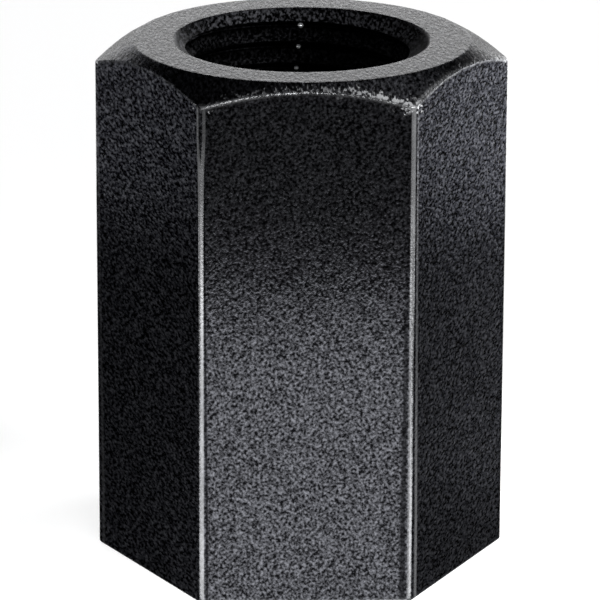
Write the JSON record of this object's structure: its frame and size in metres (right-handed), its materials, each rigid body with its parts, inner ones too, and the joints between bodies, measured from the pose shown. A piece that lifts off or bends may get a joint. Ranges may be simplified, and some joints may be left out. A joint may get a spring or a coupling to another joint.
{
  "type": "coupling nut",
  "caption": "Long hexagon nut, threaded right through to join two threaded rods, with one end chamfered and the other cut square.",
  "frame": {"origin": "centre of the bottom face, on the thread's axis", "axes": "+Z along the thread's axis, from the square end up to the chamfered end; two flats face -Y and +Y, two edges lie at -X and +X"},
  "size_m": [0.0276, 0.024, 0.0355],
  "materials": {
    "blackened_steel": "black oxide on machined steel, satin, worn to bright metal along the edges"
  },
  "bodies": {
    "root": {"coupling_nut": "blackened_steel"}
  },
  "joints": []
}
